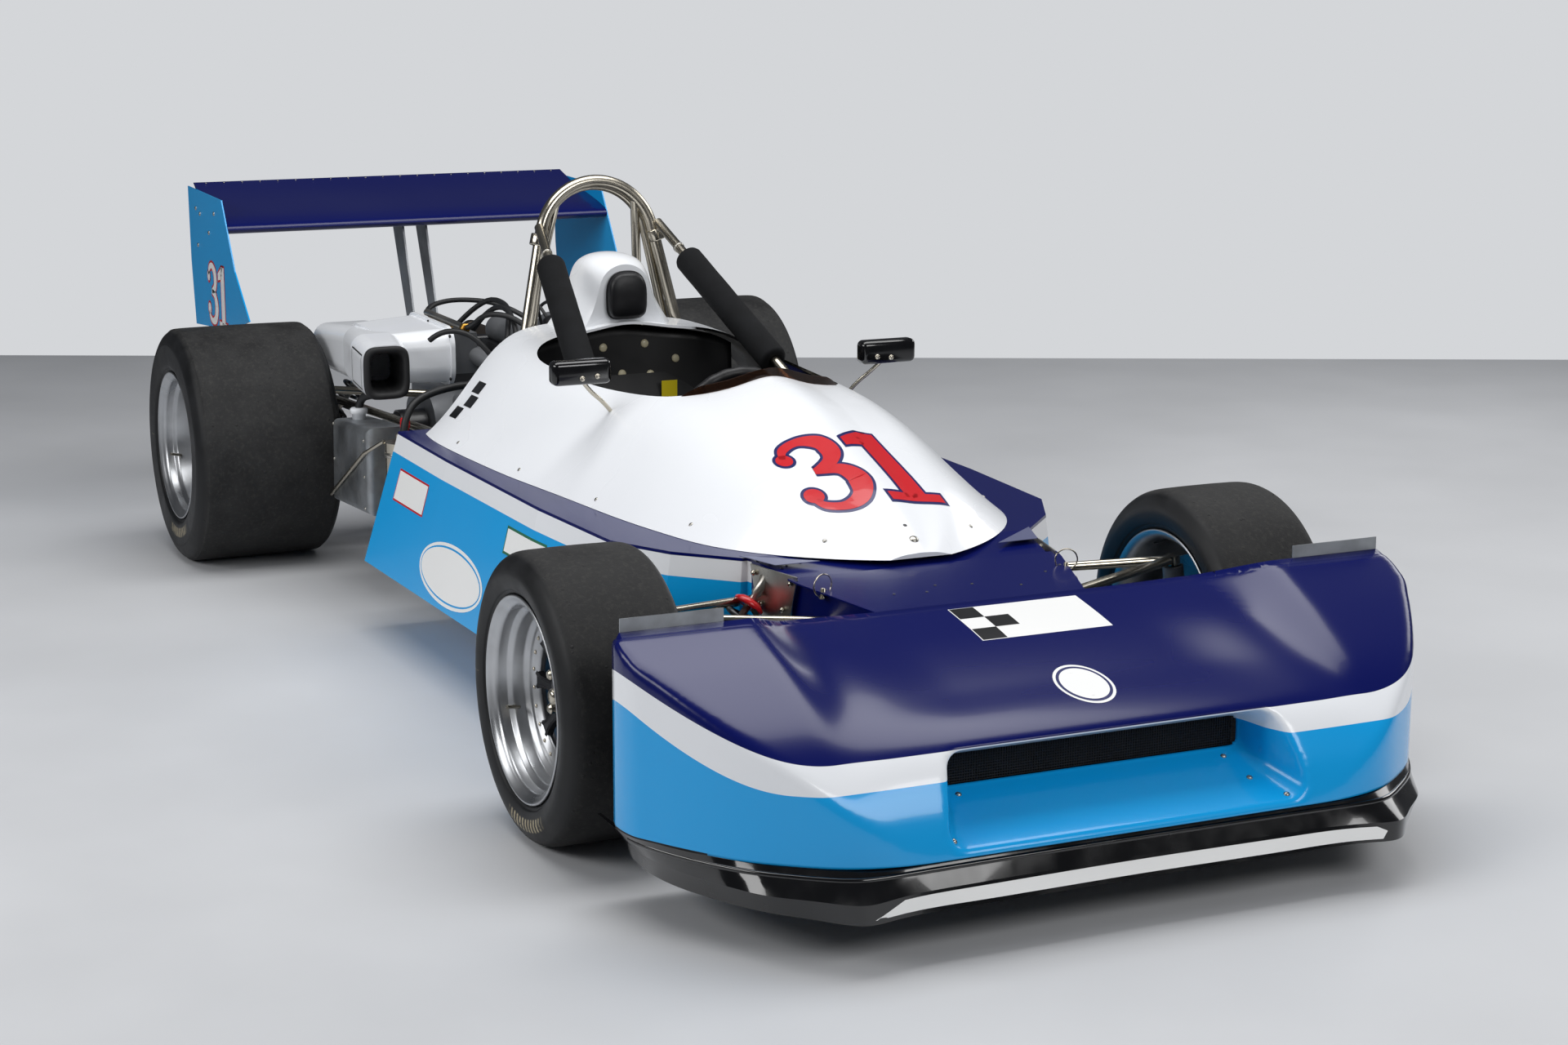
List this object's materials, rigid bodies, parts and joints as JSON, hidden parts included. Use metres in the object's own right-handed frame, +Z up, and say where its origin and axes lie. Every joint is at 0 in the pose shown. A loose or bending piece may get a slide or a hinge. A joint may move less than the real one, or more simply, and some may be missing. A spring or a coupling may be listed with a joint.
{
  "type": "open wheel racing car",
  "caption": "Single-seat open wheel racing car with a full-width chisel nose, white cockpit shroud, roll hoop, open engine bay and rear wing.",
  "frame": {"origin": "Middle of the car's outline on the ground: half way along its length, on its centre line, at the tyres' lowest point.", "axes": "+X forward to the nose, +Y to the car's left, +Z up."},
  "size_m": [4.0957, 1.6122, 0.9992],
  "materials": {
    "pod_blue": "satin",
    "navy_paint": "gloss",
    "white_paint": "gloss",
    "black_leather": "matte",
    "black_plastic": "matte",
    "black_gloss": "gloss",
    "bare_aluminium": "satin",
    "dark_tube": "satin",
    "black_foam": "matte",
    "tinted_screen": "gloss",
    "plated_tube": "gloss",
    "cast_grey": "matte",
    "cast_iron_black": "matte",
    "polished_rim": "gloss",
    "tyre_black": "matte"
  },
  "bodies": {
    "chassis": {"tub": "pod_blue", "scuttle_panel": "navy_paint", "cowl": "white_paint", "headrest_fairing": "white_paint", "headrest_pad": "black_leather", "nose": "navy_paint", "grille": "black_plastic", "radiator": "black_plastic", "splitter": "black_gloss", "nose_tabs": "bare_aluminium", "mirrors": "black_plastic", "roll_hoop": "dark_tube", "brace_pad_left": "black_foam", "brace_pad_right": "black_foam", "windscreen": "tinted_screen", "seat": "black_plastic", "steering_mounts": "bare_aluminium", "intake_lip": "black_plastic", "front_wishbones": "plated_tube", "front_springs": "plated_tube", "engine_block": "cast_iron_black", "cam_covers": "cast_grey", "airbox": "white_paint", "inlet_runners": "bare_aluminium", "exhaust": "dark_tube", "gearbox": "cast_grey", "oil_tank": "bare_aluminium", "catch_tank": "plated_tube", "rear_uprights": "cast_grey", "rear_links": "plated_tube", "rear_springs": "plated_tube", "rear_beam": "dark_tube", "wing_plane": "navy_paint", "wing_plates": "pod_blue", "wing_post": "bare_aluminium"},
    "front_upright_left_body": {"front_upright_left": "cast_grey"},
    "front_wheel_left": {"front_rim_left": "polished_rim", "front_tyre_left": "tyre_black", "front_hub_left": "cast_iron_black"},
    "rear_wheel_left": {"rear_rim_left": "polished_rim", "rear_tyre_left": "tyre_black", "rear_hub_left": "cast_iron_black", "driveshaft_left": "dark_tube"},
    "front_upright_right_body": {"front_upright_right": "cast_grey"},
    "front_wheel_right": {"front_rim_right": "polished_rim", "front_tyre_right": "tyre_black", "front_hub_right": "cast_iron_black"},
    "rear_wheel_right": {"rear_rim_right": "polished_rim", "rear_tyre_right": "tyre_black", "rear_hub_right": "cast_iron_black", "driveshaft_right": "dark_tube"},
    "steering_wheel_body": {"steering_wheel": "black_leather"},
    "rack_body": {"steering_rack": "plated_tube"}
  },
  "joints": [
    {"name": "steering_turn", "type": "hinge", "parent": "chassis", "child": "steering_wheel_body", "pos_m": [0.446, 0, 0.545], "axis": [-0.9613, 0, 0.2756], "range_deg": [-150, 150]},
    {"name": "rack_slide", "type": "slide", "parent": "chassis", "child": "rack_body", "axis": [0, 1, 0], "range_m": [-0.0315, 0.0315]},
    {"name": "kingpin_left", "type": "hinge", "parent": "chassis", "child": "front_upright_left_body", "pos_m": [1.246, 0.569, 0.257], "axis": [0, -0.1219, 0.9925], "range_deg": [-18.5, 18.5]},
    {"name": "front_spin_left", "type": "hinge", "parent": "front_upright_left_body", "child": "front_wheel_left", "pos_m": [1.246, 0.643, 0.257], "axis": [0, 1, 0], "continuous": true},
    {"name": "rear_spin_left", "type": "hinge", "parent": "chassis", "child": "rear_wheel_left", "pos_m": [-1.167, 0.623, 0.2885], "axis": [0, 1, 0], "continuous": true},
    {"name": "kingpin_right", "type": "hinge", "parent": "chassis", "child": "front_upright_right_body", "pos_m": [1.246, -0.569, 0.257], "axis": [0, 0.1219, 0.9925], "range_deg": [-18.5, 18.5]},
    {"name": "front_spin_right", "type": "hinge", "parent": "front_upright_right_body", "child": "front_wheel_right", "pos_m": [1.246, -0.643, 0.257], "axis": [0, 1, 0], "continuous": true},
    {"name": "rear_spin_right", "type": "hinge", "parent": "chassis", "child": "rear_wheel_right", "pos_m": [-1.167, -0.623, 0.2885], "axis": [0, 1, 0], "continuous": true}
  ],
  "couplings": [
    {"joint": "kingpin_left", "follows": "steering_turn", "ratio": 0.12},
    {"joint": "kingpin_right", "follows": "steering_turn", "ratio": 0.12},
    {"joint": "rack_slide", "follows": "steering_turn", "m_per_rad": 0.011804}
  ]
}
